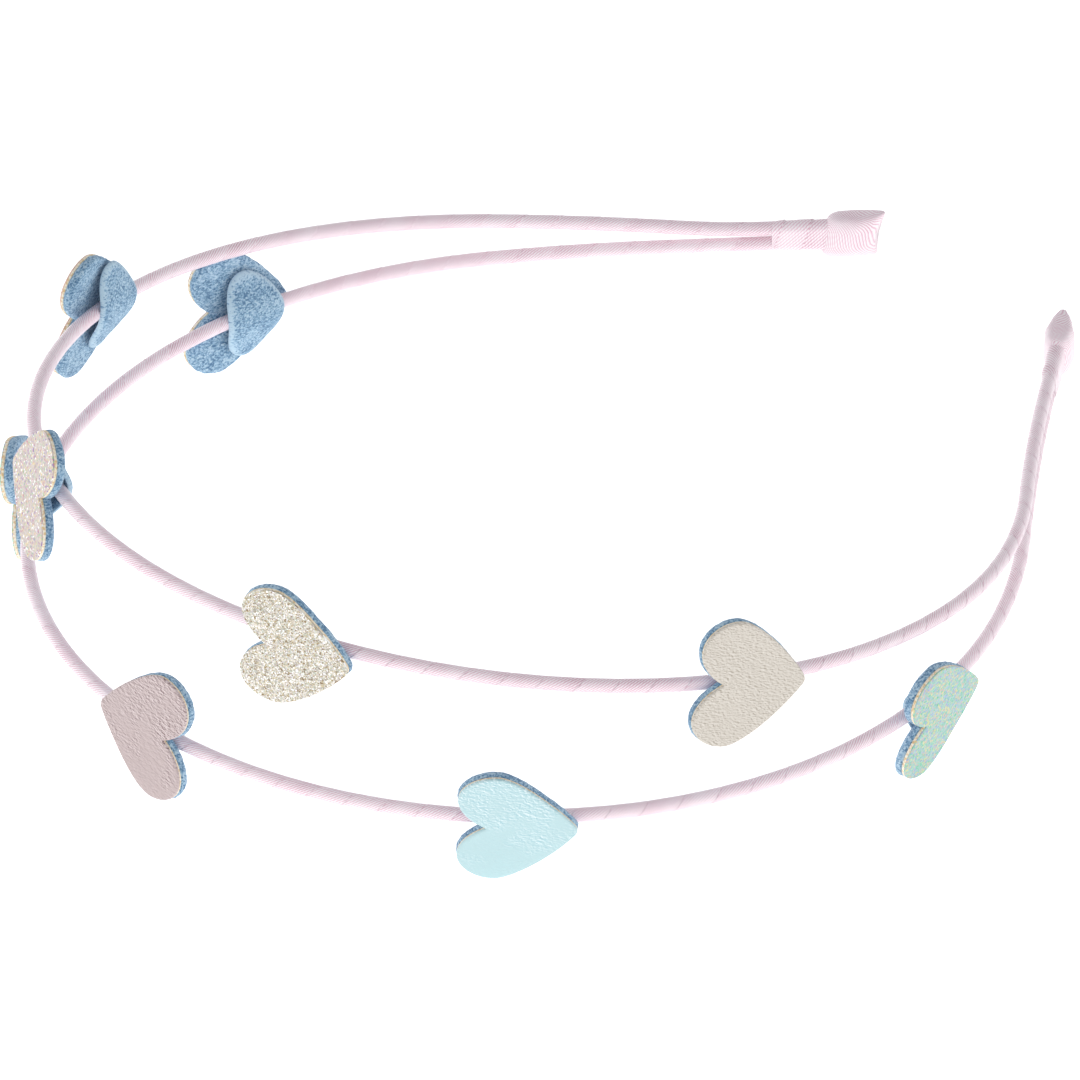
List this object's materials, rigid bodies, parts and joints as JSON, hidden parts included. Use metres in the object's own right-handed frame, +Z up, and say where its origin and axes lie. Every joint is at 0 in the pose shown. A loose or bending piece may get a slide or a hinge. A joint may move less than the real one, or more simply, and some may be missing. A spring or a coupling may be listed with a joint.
{
  "type": "heart headband",
  "caption": "Slim double headband of ribbon-wound wire, bound at both tips, with felt-backed leather and glitter hearts along its strands.",
  "frame": {"origin": "middle of the bounding box in plan, on the surface that the band lies on", "axes": "+Z up through the hoop, the band's thin way; crown towards -Y, tips towards +Y; X from the left tip's side to the right tip's side"},
  "size_m": [0.126, 0.142, 0.0363],
  "materials": {
    "satin_ribbon": "pale pink satin ribbon, wound on the bias",
    "blue_felt": "heathered blue felt",
    "peach_leather": "fine-grained, matte",
    "pink_leather": "dusty pink, fine-grained, matte",
    "aqua_leather": "pale aqua, smooth, semi-gloss",
    "beige_leather": "pebble-grained, matte",
    "ivory_glitter": "ivory shimmer cloth",
    "champagne_glitter": "coarse champagne glitter cloth",
    "mint_glitter": "iridescent mint glitter cloth"
  },
  "bodies": {
    "root": {"strand_lower": "satin_ribbon", "strand_upper": "satin_ribbon", "end_tab_left": "satin_ribbon", "end_wrap_left": "satin_ribbon", "end_tab_right": "satin_ribbon", "end_wrap_right": "satin_ribbon", "heart_felt_lower_1": "blue_felt", "heart_felt_lower_2": "blue_felt", "heart_felt_lower_3": "blue_felt", "heart_felt_lower_4": "blue_felt", "heart_felt_lower_5": "blue_felt", "heart_felt_upper_1": "blue_felt", "heart_felt_upper_2": "blue_felt", "heart_felt_upper_3": "blue_felt", "heart_felt_upper_4": "blue_felt", "heart_pad_lower_1": "blue_felt", "heart_pad_lower_2": "blue_felt", "heart_pad_lower_3": "blue_felt", "heart_pad_lower_4": "blue_felt", "heart_pad_lower_5": "blue_felt", "heart_pad_upper_1": "blue_felt", "heart_pad_upper_2": "blue_felt", "heart_pad_upper_3": "blue_felt", "heart_pad_upper_4": "blue_felt", "heart_face_lower_1": "pink_leather", "heart_face_lower_2": "mint_glitter", "heart_face_lower_3": "pink_leather", "heart_face_lower_4": "aqua_leather", "heart_face_lower_5": "mint_glitter", "heart_face_upper_1": "peach_leather", "heart_face_upper_2": "ivory_glitter", "heart_face_upper_3": "champagne_glitter", "heart_face_upper_4": "beige_leather"}
  },
  "joints": []
}
